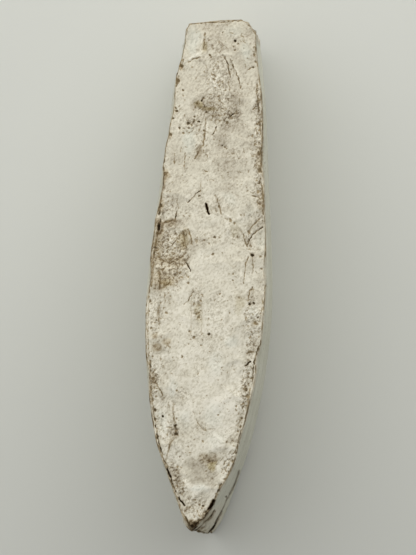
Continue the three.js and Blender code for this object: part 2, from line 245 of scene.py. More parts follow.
# Pits on the upper side: place, radius and strength.
PITS_PX = (
    # By the butt
    (235.2, 40.9, 1.2, 1), (223.2, 32.4, 0.7, 0.6), (208.8, 40.7, 0.6, 0.5),
    (233.7, 46.5, 0.8, 0.6), (238.3, 43.8, 0.8, 0.6), (235, 49.8, 0.8, 0.6),
    (209.7, 55.2, 1, 0.7), (211.5, 57.5, 0.9, 0.6), (254.4, 54.8, 1.1, 0.6),
    (255.7, 61.4, 1.1, 0.6), (253.6, 67.1, 0.9, 0.8), (181.6, 65.8, 1.8, 0.75),
    (177.5, 80.8, 1.6, 0.7), (182.7, 90, 0.9, 0.7), (183.1, 95.3, 0.7, 0.4),
    (184.8, 99.9, 0.7, 0.35), (257.3, 90.8, 1.2, 0.7), (257.7, 101.6, 1.2, 0.7),
    # Above the middle
    (196.6, 103.6, 0.9, 0.55), (204.4, 106.6, 0.9, 0.6), (188.5, 123.1, 1.3, 0.85),
    (199.6, 108.4, 0.8, 0.6), (210.6, 108.6, 0.8, 0.5), (195, 107.4, 0.9, 0.5),
    (194.3, 116, 0.9, 0.7), (192.2, 125.6, 0.8, 0.6), (179.4, 128.1, 1, 0.75),
    (184, 128.5, 0.8, 0.65), (188.9, 128.1, 1, 0.75), (183.5, 133, 1, 0.6),
    (175.7, 108.2, 0.9, 0.7), (176.5, 111.1, 1, 0.75), (173.2, 118.1, 1.1, 0.8),
    (170.8, 134.3, 1.4, 0.7), (206.3, 112.3, 1, 0.7), (227, 123, 1.4, 0.65),
    (204.3, 130.6, 1.1, 0.7), (204.4, 134, 1, 0.55), (259.4, 122.3, 1.3, 0.6),
    (259.4, 129.8, 1.1, 0.5), (222, 145.5, 0.9, 0.7), (224.6, 146.8, 0.8, 0.6),
    (252, 136, 1.2, 0.45), (258.9, 153.6, 1.6, 0.6), (260, 170, 2, 0.65),
    (259.3, 182.9, 1.3, 0.6), (258, 191.5, 1.5, 0.5), (259.7, 203.6, 1.2, 0.55),
    (239, 158, 0.7, 0.45), (161, 206, 1.5, 0.7), (165.4, 173.5, 1.5, 0.6),
    # Round the middle
    (214.3, 236.7, 1.1, 0.75), (213.4, 254.3, 1.3, 0.65), (209.2, 243.4, 0.8, 0.5),
    (203.8, 240.3, 0.8, 0.5), (196.3, 240.5, 1.5, 0.4), (252.1, 255.2, 1.8, 0.95),
    (260.5, 256.8, 1, 0.5), (230.2, 219.7, 1.3, 0.5), (234.6, 222.9, 1, 0.5),
    (248.5, 231.5, 1.2, 0.6), (261.9, 268.4, 1, 0.6), (188.2, 282.9, 1.2, 0.6),
    (188.7, 276.6, 1.2, 0.5), (149.4, 300.7, 1.3, 0.7), (148.9, 311.4, 1, 0.6),
    (165.9, 313.2, 1.1, 0.5), (170.8, 296.3, 0.9, 0.5), (202.5, 294.5, 1, 0.45),
    (200.7, 300.7, 1, 0.55), (194, 303.8, 1, 0.5), (198.5, 313.2, 1, 0.55),
    (198.9, 317.7, 1.2, 0.55), (239.1, 298, 0.9, 0.5), (229.3, 313.2, 0.8, 0.55),
    (219.5, 294, 0.8, 0.5), (233.3, 280.2, 0.8, 0.6), (232.9, 273.9, 0.8, 0.55),
    (249.8, 304.3, 1.1, 0.9), (253.6, 303.4, 1.1, 0.85), (258.3, 317.7, 1, 0.75),
    (255.2, 323, 1.5, 0.5), (266.3, 286, 1, 0.5), (151.2, 327.9, 0.9, 0.6),
    (189.6, 331, 1, 0.65), (208.8, 334.4, 1.1, 0.85), (194, 337.5, 1, 0.6),
    # Towards the blade
    (200.7, 345, 0.9, 0.6), (188.7, 343.8, 0.8, 0.4), (182.4, 357.1, 0.9, 0.65),
    (152.5, 356.7, 0.8, 0.6), (221.7, 367.9, 0.7, 0.6), (251.6, 377.7, 1.2, 0.65),
    (246.3, 389.7, 1.4, 0.75), (176.6, 391, 0.9, 0.6), (163, 416.3, 1.1, 1),
    (154.5, 409.5, 1.5, 0.8), (154.9, 419, 1.4, 0.75), (152.4, 399.9, 1, 0.7),
    (175.2, 425.6, 1.4, 0.9), (175.7, 429.5, 1, 0.7), (176.1, 433.9, 1.7, 0.85),
    (176.5, 419, 1, 0.5), (218.4, 415.3, 0.7, 0.5), (241.6, 418.2, 1.5, 0.7),
    (240.3, 426.5, 1.3, 0.6), (236.2, 406.1, 1, 0.6), (202.6, 441.4, 1, 0.45),
    (179.8, 456.2, 0.8, 0.7), (237, 447.8, 1.2, 0.6), (236.3, 452.7, 1.1, 0.7),
    (232.8, 460.4, 1.1, 0.7), (228.6, 471.7, 1.1, 0.7), (225.1, 479.4, 1.3, 0.6),
    (220.2, 485, 1.3, 0.7), (219.1, 490.6, 1.4, 0.75), (216.7, 494.1, 1.2, 0.6),
    (203.3, 506, 1.1, 0.8), (199.8, 504.6, 1, 0.6), (187.2, 508.2, 1, 0.4),
    (199.1, 520.4, 1.6, 0.8), (206.1, 471, 0.8, 0.4), (175.3, 475.9, 1, 0.6),
    (177.4, 466.8, 1, 0.5), (176.7, 469.6, 1, 0.5), (192, 526.8, 2.2, 0.9),
    (195, 524, 1.6, 0.8), (188.6, 523.2, 1.3, 0.7), (153, 372, 1, 0.5),
    (152.6, 378.6, 1.4, 0.6), (154.5, 388, 0.8, 0.45), (248.5, 384, 0.8, 0.5),
    (247.6, 396.5, 1.2, 0.6), (243.4, 403.4, 0.8, 0.5), (238, 431, 1, 0.55),
)

# Soft patches of tone on the upper side: what each is, its middle, its two half widths, its turn in
# degrees and its strength.
PATCHES_PX = (
    # By the butt
    ("cool", 193, 41, 8, 19, 4, 0.8), ("cool", 236, 31, 10, 7, 0, 0.5),
    ("light", 193, 43, 8, 17, 4, 0.8), ("light", 232, 31, 9, 8, 0, 0.6),
    ("cool", 246, 52, 7, 13, 0, 0.8), ("light", 252, 79, 5, 8, 0, 0.1),
    ("light", 246, 55, 6, 9, 0, 1), ("dark", 208, 27, 9, 5, 0, 0.4),
    ("dark", 250, 31, 5, 8, 0, 0.5), ("dark", 219, 58, 9, 5, 0, 0.4),
    ("dark", 205, 46, 4, 9, 0, 0.45), ("olive", 205, 47, 3.5, 6, 0, 0.6),
    ("dark", 215, 42, 9, 12, 0, 0.35), ("dark", 208, 58, 22, 4, -4, 0.3),
    # The dark patch at 231, 70 is painted shade beside the twin cracks.
    ("dark", 231, 70, 5, 18, -5, 0.45), ("light", 192, 72, 14, 9, -10, 0.3),
    ("brown", 180.5, 66, 2.5, 4, 10, 0.8), ("brown", 177, 82, 3, 5, 15, 1),
    ("light", 217, 83, 6, 10, 0, 2.2), ("light", 185, 102, 8, 16, 3, 0.5),
    ("dark", 252, 84, 7, 9, 0, 0.2), ("light", 253, 103, 4, 6, 0, 1),
    ("light", 178, 107, 3, 6, 0, 1), ("dark", 231, 100, 5, 9, 0, 0.5),
    # Across the stone above the middle
    ("dark", 235, 96, 4, 12, 0, 0.6), ("dark", 211, 110, 12, 15, 0, 0.8),
    ("dark", 238, 114, 5, 13, 0, 0.5), ("dark", 231, 128, 8, 5, 0, 0.5),
    ("dark", 195, 107, 5, 6, 0, 0.8), ("light", 187, 133, 5, 5, 0, 1),
    ("dark", 170, 110, 3, 7, 0, 0.4), ("dark", 253, 147, 5, 6, 0, 0.6),
    ("dark", 201, 103, 9, 8, 0, 0.4), ("olive", 197.5, 105, 4.5, 4.5, 0, 1),
    ("olive", 208, 108, 9, 3, 3, 1), ("dark", 205, 108, 9, 3, 3, 0.8),
    ("dark", 222, 122, 7, 6, 0, 0.15),
    ("dark", 229, 172, 22, 26, 0, 0.3), ("dark", 240, 100, 4, 6, 0, 0.5),
    ("dark", 233, 113, 9, 7, -12, 0.9), ("dark", 238, 126, 8, 8, 0, 0.55),
    ("dark", 226, 124, 6, 8, 0, 0.8), ("dark", 196, 121, 7, 3.5, 0, 0.35),
    ("dark", 189, 125, 5, 4, 0, 0.1), ("light", 178, 125, 6, 12, 5, 0.5),
    ("brown", 173, 111, 3, 8, 5, 0.6), ("brown", 170.5, 134, 2, 4, 0, 0.6),
    ("dark", 203, 133, 8, 7, 0, 0.35), ("cool", 189, 142, 8, 13, 0, 0.8),
    ("dark", 221, 140, 9, 11, -10, 0.8), ("dark", 199, 152, 3, 10, 25, 0.7),
    ("brown", 199, 152, 3, 9, 25, 0.6), ("dark", 174, 160, 3, 7, 0, 0.25),
    ("dark", 245, 138, 12, 14, 0, 0.4), ("dark", 231, 153, 10, 5, 0, 0.3),
    ("dark", 186, 168, 4, 6, 0, 0.3), ("light", 208, 168, 8, 26, 4, 0.35),
    # The dark patches at 259, 108 and 259, 158 are painted shade along the right rim, where the upper
    # side bends away from the light. The brown patch at 259, 158 is a stain.
    ("dark", 226, 166, 10, 11, 0, 0.3), ("dark", 259, 108, 3, 22, 0, 0.45),
    ("dark", 259, 158, 5, 18, 0, 0.25), ("brown", 259, 158, 4, 16, 0, 0.6),
    # Round the slit
    ("dark", 226, 188, 14, 5, 0, 0.5), ("dark", 181, 200, 6, 6, 0, 0.45),
    ("dark", 163, 213, 6, 5, 0, 0.7), ("dark", 162, 183, 4, 13, 4, 0.8),
    ("brown", 162, 183, 4, 13, 4, 0.7), ("dark", 260, 222, 5, 8, 0, 0.6),
    ("brown", 165, 175, 3.5, 9, 5, 1), ("dark", 166, 182, 5, 9, 0, 0.7),
    # The dark patch at 260, 183 is painted shade along the right rim.
    ("dark", 178, 181, 8, 5, 0, 0.4), ("dark", 260, 183, 3.5, 11, 0, 0.5),
    ("dark", 205, 172, 5, 3, 0, 0.35), ("dark", 211, 182, 3, 5, 0, 0.3),
    ("light", 239, 180, 12, 14, 0, 0.15), ("light", 186, 191, 12, 8, 0, 0.3),
    ("dark", 172, 192, 6, 9, 0, 0.2), ("dark", 198, 193, 4, 7, 20, 0.45),
    ("cool", 229, 199, 7, 9, -20, 0.4), ("dark", 217, 204, 4, 8, -10, 0.45),
    ("dark", 175, 203, 5, 7, 0, 0.55), ("brown", 161, 205, 3, 8, 0, 0.9),
    # The dark patch at 261, 203 is painted shade along the right rim. The brown one there is a stain.
    ("dark", 249, 208, 5, 6, 0, 0.75), ("dark", 261, 203, 5, 15, 0, 0.7),
    ("brown", 261, 203, 3.5, 12, 0, 0.6), ("light", 192, 214, 12, 9, 0, 0.1),
    ("dark", 180, 221, 9, 5, 0, 0.6), ("light", 242, 219, 7, 6, 0, 1.6),
    ("dark", 254, 196, 4, 5, 0, 0.6), ("cool", 249, 210, 5, 8, 0, 0.5),
    # The large stained scar, and what lies opposite
    ("brown", 170, 223, 9, 5, -10, 0.7), ("dark", 170, 223, 9, 5, -10, 0.8),
    ("brown", 157, 245, 7, 26, 8, 0.6), ("dark", 156, 245, 6, 24, 8, 0.45),
    ("brown", 184, 240, 8, 12, 0, 0.4), ("olive", 184, 240, 7, 11, 0, 0.6),
    ("dark", 184, 240, 7, 12, 0, 0.4), ("dark", 165, 245, 6, 9, 0, 0.4),
    ("dark", 159, 226, 3.5, 9, 0, 1.4), ("brown", 159, 226, 4, 10, 0, 1),
    ("dark", 165, 274, 8, 5, 0, 0.5), ("dark", 156, 289, 8, 4, 0, 0.5),
    ("dark", 238, 236, 5, 8, 0, 0.5), ("dark", 167, 236, 5, 7, 0, 0.7),
    ("dark", 241, 243, 5, 6, 0, 0.25), ("dark", 260, 281, 4, 7, 0, 0.4),
    ("dark", 184, 232, 6, 6, 0, 0.4), ("dark", 187, 252, 5, 5, 0, 0.4),
    ("dark", 179, 281, 5, 4, 0, 0.5),
    ("dark", 258, 251, 5, 7, 0, 0.4), ("light", 246, 232, 3, 6, 0, 0.8),
    ("brown", 172, 245, 16, 22, 0, 0.2), ("light", 175, 247, 5, 5, 0, 0.3),
    ("brown", 173, 262, 19, 9, 0, 0.6), ("dark", 173, 261, 18, 8, 0, 0.6),
    ("dark", 178, 275, 10, 6, -20, 0.9), ("brown", 163, 279, 16, 12, 0, 0.7),
    ("dark", 158, 272, 7, 4, 0, 0.5), ("dark", 189, 258, 4, 6, 0, 0.5),
    ("dark", 161, 283, 13, 7, 0, 0.65), ("olive", 166, 283, 6, 6, 0, 0.6),
    ("dark", 203, 242, 6, 6, 0, 0.8), ("dark", 193, 246, 4, 9, 0, 0.6),
    ("light", 200, 259, 8, 15, 0, 0.5), ("light", 218, 268, 14, 14, 0, 0.3),
    ("light", 229, 231, 5, 8, 0, 0.6), ("olive", 235, 232, 6, 10, 0, 0.25),
    ("dark", 252, 226, 8, 5, -30, 0.3), ("dark", 248, 239, 4, 10, 0, 0.6),
    ("cool", 261, 241, 6, 13, 0, 0.5), ("dark", 252, 256, 3.5, 5, 0, 0.6),
    ("dark", 259, 236, 6, 10, 0, 0.4), ("light", 258, 270, 6, 12, 0, 0.1),
    # Below the middle
    ("light", 181, 302, 9, 28, 0, 0.6), ("light", 215, 295, 10, 12, 0, 0.35),
    ("light", 212, 322, 10, 11, 0, 0.35), ("dark", 168, 298, 6, 6, 0, 0.45),
    ("light", 200, 300, 6, 6, 0, 0.5), ("light", 259, 320, 4, 7, 0, 0.8),
    ("dark", 241, 298, 6, 8, 0, 0.4), ("dark", 160, 338, 7, 5, 0, 0.6),
    ("dark", 158, 311, 4, 9, 0, 0.5), ("dark", 195, 293, 5, 5, 0, 0.35),
    ("dark", 156, 325, 6, 12, 0, 0.4), ("dark", 196, 325, 5, 6, 0, 0.3),
    ("dark", 198, 310, 5, 13, 0, 0.35), ("olive", 198, 312, 4, 11, 0, 0.4),
    ("dark", 250, 299, 5, 9, 0, 0.75), ("dark", 258, 298, 7, 8, 0, 0.45),
    ("olive", 239, 305, 6, 11, 0, 0.3), ("dark", 239, 305, 5, 9, 0, 0.2),
    ("light", 255, 314, 7, 6, 0, 0.2), ("dark", 228, 317, 5, 5, 0, 0.3),
    ("brown", 255, 323, 4, 4, 0, 0.5), ("dark", 255, 323, 4, 4, 0, 0.4),
    ("dark", 200, 338, 14, 6, 0, 0.35), ("dark", 210, 336, 5, 5, 0, 0.3),
    ("brown", 156, 335, 4, 4, 0, 0.7), ("dark", 156, 335, 4, 4, 0, 0.3),
    ("brown", 167, 342, 4, 4, 0, 0.8), ("dark", 167, 342, 4, 4, 0, 0.4),
    ("brown", 157, 347, 6, 5, 0, 1), ("dark", 157, 347, 6, 5, 0, 0.9),
    ("cool", 232, 342, 9, 7, 0, 0.6), ("dark", 253, 344, 5, 7, 0, 0.5),
    ("dark", 250, 353, 5, 3.5, 0, 0.7), ("dark", 247, 363, 5, 5, 20, 0.9),
    ("cool", 216, 364, 8, 15, 0, 0.4), ("dark", 174, 363, 5, 8, 10, 0.6),
    ("light", 217, 363, 10, 12, 0, 0.6), ("dark", 165, 369, 7, 10, 0, 0.4),
    ("dark", 185, 373, 6, 5, 0, 0.3), ("dark", 228, 373, 4, 4, 0, 0.3),
    ("dark", 153, 380, 4.5, 12, 0, 1), ("brown", 153, 381, 4, 11, 0, 0.4),
    ("dark", 251, 381, 4, 7, 0, 0.7), ("dark", 161, 353, 11, 3, 0, 0.5),
    ("cool", 254, 312, 6, 12, 0, 0.5),
    # Towards the blade
    ("light", 204, 383, 16, 11, 0, 0.9), ("cool", 172, 388, 5, 11, 0, 0.6),
    ("dark", 182, 391, 8, 9, 0, 0.25), ("dark", 162, 394, 4, 9, -20, 0.55),
    ("light", 223, 403, 15, 13, 0, 1.8), ("dark", 246, 394, 6, 16, 10, 0.7),
    ("light", 214, 379, 10, 8, 0, 0.7), ("dark", 171, 431, 5, 7, 0, 0.9),
    ("dark", 161, 382, 5, 7, 0, 0.4), ("dark", 180, 401, 7, 5, 0, 0.4),
    ("dark", 248, 357, 7, 3, 0, 0.4), ("dark", 232, 442, 8, 4, 0, 0.8),
    ("light", 190, 405, 10, 9, 0, 0.3), ("dark", 154, 410, 3.5, 5, 0, 0.7),
    ("cool", 213, 416, 12, 14, 0, 0.5), ("cool", 185, 420, 7, 13, 0, 0.4),
    # The dark patch at 171, 415 is painted shade in the hollow scar beside the groove.
    ("cool", 162, 420, 5, 14, -8, 0.5), ("dark", 171, 415, 4, 13, 0, 0.5),
    ("dark", 223, 411, 4, 3, 0, 0.3), ("dark", 241, 418, 4, 9, 0, 0.7),
    ("dark", 201, 426, 6, 5, 40, 0.4), ("dark", 191, 433, 5, 4, 0, 0.3),
    ("dark", 159, 422, 4, 10, -10, 0.8), ("dark", 181, 431, 6, 14, 0, 0.5),
    ("dark", 196, 464, 9, 5, 0, 0.4), ("dark", 215, 484, 10, 5, 0, 0.6),
    ("dark", 198, 482, 9, 4, 0, 0.5), ("brown", 208, 459, 9, 7, 0, 0.6),
    ("dark", 175, 431, 4, 8, 0, 1), ("dark", 171, 444, 3.5, 7, 15, 0.6),
    ("dark", 237, 434, 5, 13, 15, 0.9), ("dark", 162, 442, 5, 14, -14, 0.4),
    ("brown", 171, 442, 3, 7, 15, 0.4), ("cool", 216, 440, 12, 8, 0, 0.4),
    ("light", 195, 444, 8, 7, 0, 0.2), ("dark", 227, 446, 4, 9, 35, 0.7),
    ("light", 232, 461, 5, 13, 22, 0.8), ("dark", 214, 457, 12, 6, 0, 0.6),
    ("dark", 204, 459, 8, 6, 0, 0.9), ("dark", 212, 462, 6, 9, 0, 0.8),
    ("olive", 212, 466, 4, 6, 0, 1), ("dark", 190, 463, 9, 6, 0, 0.7),
    ("dark", 202, 474, 17, 12, 0, 1.2), ("light", 190, 484, 7, 4, 30, 0.5),
    ("dark", 173, 473, 7, 15, -24, 1.5), ("dark", 180, 488, 7, 10, -30, 1),
    ("dark", 213, 480, 6, 10, 20, 0.4), ("dark", 183, 506, 5, 12, -30, 1),
    ("dark", 187, 496, 6, 5, 0, 0.8), ("dark", 207, 505, 5, 8, 0, 0.6),
    ("dark", 194, 527, 8, 5, 20, 1.8), ("brown", 192, 526, 8, 6, 0, 1),
    ("dark", 184, 518, 4, 8, -30, 0.3), ("brown", 184, 518, 4, 8, -30, 0.7),
    ("dark", 205, 513, 5, 4, -40, 1.2), ("dark", 200, 525, 6, 4, 0, 0.9),
    ("dark", 182, 468, 5, 8, 0, 0.3),
    ("dark", 179, 474, 5, 8, -24, 0.7), ("dark", 179, 483, 5, 5, 0, 0.5),
    ("cool", 200, 489, 9, 4, 0, 0.7), ("dark", 203, 497, 7, 4, -30, 0.45),
    ("dark", 196, 506, 12, 8, 0, 0.5), ("light", 190, 514, 6, 5, 0, 0.4),
    ("dark", 206, 519, 9, 6, -30, 0.9), ("brown", 206, 519, 9, 6, -30, 0.6),
    ("dark", 195, 529, 13, 6, 5, 1), ("brown", 195, 529, 13, 6, 5, 1),
)

# Where the upper side is rough and speckled, in the same way.
ROUGH_PX = (
    (219, 84, 17, 32, 0, 0.9), (192, 124, 17, 14, 0, 0.6), (222, 114, 22, 14, 0, 0.7),
    (218, 47, 12, 12, 0, 0.5), (252, 45, 7, 22, 0, 0.4), (179, 118, 7, 20, 0, 0.4),
    (206, 146, 10, 22, 0, 0.4), (259, 140, 7, 75, 0, 1), (166, 205, 12, 22, 0, 0.6),
    (215, 205, 25, 14, 0, 0.4), (170, 256, 22, 38, 0, 1), (232, 232, 9, 18, -25, 0.6),
    (248, 240, 9, 22, 0, 0.5), (208, 240, 16, 9, 0, 0.4), (156, 312, 10, 24, 0, 0.7),
    (197, 304, 7, 18, 0, 0.8), (253, 325, 10, 40, 0, 0.9), (200, 338, 14, 8, 0, 0.5),
    (154, 380, 7, 22, 0, 1), (246, 385, 8, 34, 12, 1), (183, 394, 10, 7, 0, 0.6),
    (172, 425, 6, 18, 0, 0.6), (200, 428, 14, 8, 0, 0.4), (170, 455, 7, 26, -15, 0.6),
    (231, 462, 8, 22, 24, 0.9), (180, 487, 12, 12, 35, 0.9), (212, 464, 8, 8, 0, 0.5),
    (196, 508, 16, 14, 0, 0.8), (205, 525, 14, 8, 0, 0.7),
)

# Where the upper side is smooth and hardly marked, in the same way.
SMOOTH_PX = (
    (193, 41, 9, 20, 4, 1), (189, 98, 8, 22, 3, 0.8), (193, 68, 12, 8, -8, 0.6),
    (246, 52, 7, 14, 0, 0.6), (189, 143, 7, 11, 0, 0.6), (200, 262, 10, 18, 0, 0.6),
    (182, 304, 8, 24, 0, 0.6), (232, 345, 9, 8, 0, 0.8), (216, 364, 9, 14, 0, 0.5),
    (213, 412, 13, 16, 0, 0.5), (196, 474, 14, 12, 20, 0.9), (185, 420, 6, 12, 0, 0.5),
)

# Where the stone is drawn a little off its CAD solid, as its outline in the photograph asks: a place,
# how far the pull reaches and the pull, in mm.
PULLS_MM = (
    # The corner of the cutting edge is sharper
    ((-2, -77, 56), 6, (-0.7, -0.7, 0)),
    # The left arris lies further in
    ((-8.8, -62, 60), 12, (0.7, 0, 0)),
    ((-5.8, -71, 60), 9, (0.4, 0, 0)),
    # The right arris lies further out
    ((9.5, -58, 60), 9, (0.7, 0, 0)),
    # The right corner of the butt is rounder
    ((12.8, 77, 40), 13, (-0.45, -0.25, 0)),
)

# What the camera looks at, just under the stone's upper side, and where the lamps stand.
VIEW_TARGET = (0.0004, -0.0001, 0.055)
KEY_PLACE = (-0.05, 0.25, 0.35)
BACK_PLACE = (0.2, 0.6, 0.2)


def linear(hex_colour):
    """An sRGB hex colour as linear RGB with full alpha. The numbers are those of the standard."""
    parts = [int(hex_colour[i : i + 2], 16) / 255 for i in (1, 3, 5)]
    return tuple(
        part / 12.92 if part <= 0.04045 else ((part + 0.055) / 1.055) ** 2.4
        for part in parts
    ) + (1.0,)


def colour_property(name, hex_colour, description):
    """A colour setting, from an sRGB hex value."""
    return bpy.props.FloatVectorProperty(
        name=name,
        description=description,
        subtype="COLOR",
        size=4,
        min=0,
        max=1,
        default=linear(hex_colour),
    )


def length_property(name, size_mm, description):
    """A length setting, from millimetres."""
    return bpy.props.FloatProperty(
        name=name,
        description=description,
        unit="LENGTH",
        min=0,
        default=size_mm * MM,
    )


def angle_property(name, degrees, description):
    """An angle setting, from degrees."""
    return bpy.props.FloatProperty(
        name=name,
        description=description,
        subtype="ANGLE",
        default=math.radians(degrees),
    )


def power_property(name, watts, description):
    """A setting for the power of a lamp, in watts."""
    return bpy.props.FloatProperty(
        name=name,
        description=description,
        unit="POWER",
        min=0,
        default=watts,
    )


class StoneSizes(bpy.types.PropertyGroup):
    skin_step: length_property("Skin step", 0.4, "Distance between points of the skin")
    wear: length_property("Wear", 0.06, "How far wear has rounded the arrises")
    pit_depth: length_property("Pit depth", 0.35, "Depth of the deepest pits")
    crack_depth: length_property("Crack depth", 0.2, "Depth of a strong crack")
    ridge_height: length_property("Ridge height", 0.15, "Height of a strong ridge")
    lump_depth: length_property("Lump depth", 0.35, "Unevenness of the knapped sides")
    grain_depth: length_property("Grain depth", 0.04, "Roughness of the patina")
    grinding_depth: length_property(
        "Grinding depth", 0.07, "Unevenness of the ground faces"
    )


class StoneColours(bpy.types.PropertyGroup):
    chalk: colour_property("Chalk", "#e4dfce", "White patina where it is thickest")
    patina: colour_property("Patina", "#cbc5b1", "Cream patina on the knapped sides")
    thin: colour_property("Thin patina", "#a9a08c", "Thin patina over the flint")
    bare: colour_property("Bare flint", "#7a6f5a", "Flint with hardly a patina")
    dust: colour_property("Dust", "#b6a890", "How a little soil tints the stone")
    soil: colour_property("Soil", "#1e130a", "How soil tints pits and cracks")
    cool: colour_property("Cool tint", "#f3faff", "Tint of the smoothest patina")
    brown: colour_property("Brown tint", "#eee2cc", "Tint of the iron stains")
    olive: colour_property("Olive tint", "#e9dfb4", "Tint of the soil stains")
    ground: colour_property("Ground", "#d9d8c6", "Ground faces")
    smoke: colour_property("Smoke", "#c4c2ae", "Darker flint on the ground faces")


class StageSettings(bpy.types.PropertyGroup):
    view_distance: length_property("Distance", 800, "From the camera to the stone")
    view_right: angle_property("View right", 3.8, "Camera moved round towards +X")
    view_front: angle_property("View front", 2.4, "Camera moved round towards -Y")
    view_roll: angle_property("Roll", 2.1, "Turn of the picture")
    focal_px: bpy.props.FloatProperty(
        name="Focal length",
        description="Focal length in pixels of the photograph",
        subtype="PIXEL",
        min=1,
        default=2590,
    )
    key_watts: power_property("Key light", 4, "Power of the large soft light")
    key_size: length_property("Key size", 1000, "Width of the large soft light")
    back_watts: power_property("Back light", 0.8, "Power of the light past the butt")
    back_size: length_property("Back size", 400, "Width of the light past the butt")
    fill_strength: bpy.props.FloatProperty(
        name="Fill light",
        description="Strength of the even light",
        min=0,
        default=0.221,
    )
    floor: colour_property("Floor", "#cdcec6", "Pale paper under the stone")


def make_camera(settings):
    """A camera above the upper narrow side, as in the photograph."""
    right, front = settings.view_right, settings.view_front
    to_camera = Vector(
        (
            math.sin(right) * math.cos(front),
            -math.sin(front),
            math.cos(right) * math.cos(front),
        )
    )
    up = Vector((0, 1, 0))
    up = (up - to_camera * up.dot(to_camera)).normalized()
    axes = Matrix((up.cross(to_camera), up, to_camera)).transposed()
    data = bpy.data.cameras.new("camera")
    data.sensor_fit = "VERTICAL"
    data.lens = settings.focal_px / PHOTO_HEIGHT * data.sensor_height
    camera = bpy.data.objects.new("camera", data)
    camera.matrix_world = (
        Matrix.Translation(Vector(VIEW_TARGET) + to_camera * settings.view_distance)
        @ axes.to_4x4()
        @ Matrix.Rotation(settings.view_roll, 4, "Z")
    )
    bpy.context.scene.collection.objects.link(camera)
    bpy.context.scene.camera = camera
    bpy.context.view_layer.update()


def photo_places(points):
    """Where the camera sees each point, in pixels of the photograph."""
    camera = bpy.context.scene.camera
    into = np.array(camera.matrix_world.inverted())
    seen = points @ into[:3, :3].T + into[:3, 3]
    scale = PHOTO_HEIGHT * camera.data.lens / camera.data.sensor_height
    across = PHOTO_WIDTH / 2 - scale * seen[:, 0] / seen[:, 2]
    down = PHOTO_HEIGHT / 2 + scale * seen[:, 1] / seen[:, 2]
    return np.stack((across, down), axis=1)


def facing_camera(points, normals):
    """How squarely each point of a skin faces the camera, from -1 to 1."""
    ways = np.array(bpy.context.scene.camera.matrix_world.translation) - points
    return np.sum(ways * normals, axis=1) / np.linalg.norm(ways, axis=1)


def smooth_step(values, start, end):
    """0 up to start and 1 from end on, with a smooth rise between them."""
    share = np.clip((values - start) / (end - start), 0, 1)
    return share * share * (3 - 2 * share)


def lumps(points, size, seed):
    """Smooth random values from about -1 to 1, with lumps of that size in metres."""
    dimension, lacunarity, octaves = 1, 2, 3
    places = points / size + seed
    return np.array(
        [noise.fractal(place, dimension, lacunarity, octaves) for place in places]
    )


# A face whose normal rises at least this much belongs to the upper side.
LEAST_UPWARD = 0.5


def skin_of(node, step):
    """An even skin of small faces over a CAD node, finer on the upper side."""
    stone = bpy.data.objects.new("flint_axe", node.data.copy())
    bpy.context.scene.collection.objects.link(stone)
    remesh = stone.modifiers.new("even_skin", "REMESH")
    remesh.mode = "VOXEL"
    remesh.voxel_size = step
    fit = stone.modifiers.new("crisp_arrises", "SHRINKWRAP")
    fit.target = node
    graph = bpy.context.evaluated_depsgraph_get()
    mesh = bpy.data.meshes.new_from_object(stone.evaluated_get(graph))
    stone.modifiers.clear()
    stone.data = mesh
    mesh.materials.clear()
    shape = bmesh.new()
    shape.from_mesh(mesh)
    fine = [
        edge
        for edge in shape.edges
        if any(face.normal.z > LEAST_UPWARD for face in edge.link_faces)
    ]
    bmesh.ops.subdivide_edges(shape, edges=fine, cuts=1, use_grid_fill=True)
    odd = [face for face in shape.faces if len(face.verts) > 4]
    bmesh.ops.triangulate(shape, faces=odd)
    shape.to_mesh(mesh)
    shape.free()
    mesh.shade_smooth()
    return stone


class Skin:
    """The points of a mesh, to move and to paint together."""

    def __init__(self, mesh):
        self.mesh = mesh
        count = len(mesh.vertices)
        points = np.empty(count * 3)
        mesh.vertices.foreach_get("co", points)
        self.points = points.reshape(count, 3)
        edges = np.empty(len(mesh.edges) * 2, dtype=int)
        mesh.edges.foreach_get("vertices", edges)
        self.edges = edges.reshape(-1, 2)
        self.neighbours = np.bincount(edges, minlength=count)

    def average(self, values):
        """The average of each point's neighbours."""
        first, second = self.edges.T
        count = len(self.points)
        total = np.bincount(first, values[second], count)
        total += np.bincount(second, values[first], count)
        return total / self.neighbours

    def relax(self, values, rounds):
        """Values, smoothed over the skin."""
        smoothed = values.copy()
        for _ in range(rounds):
            near = [self.average(column) for column in np.atleast_2d(smoothed.T)]
            smoothed = (smoothed + np.array(near).T.reshape(values.shape)) / 2
        return smoothed

    def store(self):
        """Writes the moved points to the mesh."""
        self.mesh.vertices.foreach_set("co", self.points.ravel())
        self.mesh.update()

    def normals(self):
        """The way outwards at each point, as it lies now."""
        self.store()
        normals = np.empty(len(self.points) * 3)
        self.mesh.vertex_normals.foreach_get("vector", normals)
        return normals.reshape(-1, 3)

    def push(self, heights):
        """Moves each point outwards by its height."""
        self.points += self.normals() * heights[:, None]

    def paint(self, name, values):
        """Stores a value for each point, for the material to read."""
        layer = self.mesh.attributes.new(name, "FLOAT", "POINT")
        layer.data.foreach_set("value", np.clip(values, 0, 1).astype(np.float32))


def distance_to_line(places, line):
    """How far each place is from a line through those points."""
    nearest = np.full(len(places), np.inf)
    for start, end in zip(line, line[1:]):
        along = np.subtract(end, start)
        share = np.clip((places - start) @ along / (along @ along), 0, 1)
        away = places - start - share[:, None] * along
        nearest = np.minimum(nearest, np.hypot(away[:, 0], away[:, 1]))
    return nearest


def blot(places, x, y, half_x, half_y, turn):
    """A soft oval: 1 up to about a third of its half widths, and 0 from a quarter past them on."""
    away = places - (x, y)
    angle = math.radians(turn)
    across = away @ (math.cos(angle), math.sin(angle)) / half_x
    down = away @ (-math.sin(angle), math.cos(angle)) / half_y
    return 1 - smooth_step(np.hypot(across, down), 0.35, 1.25)


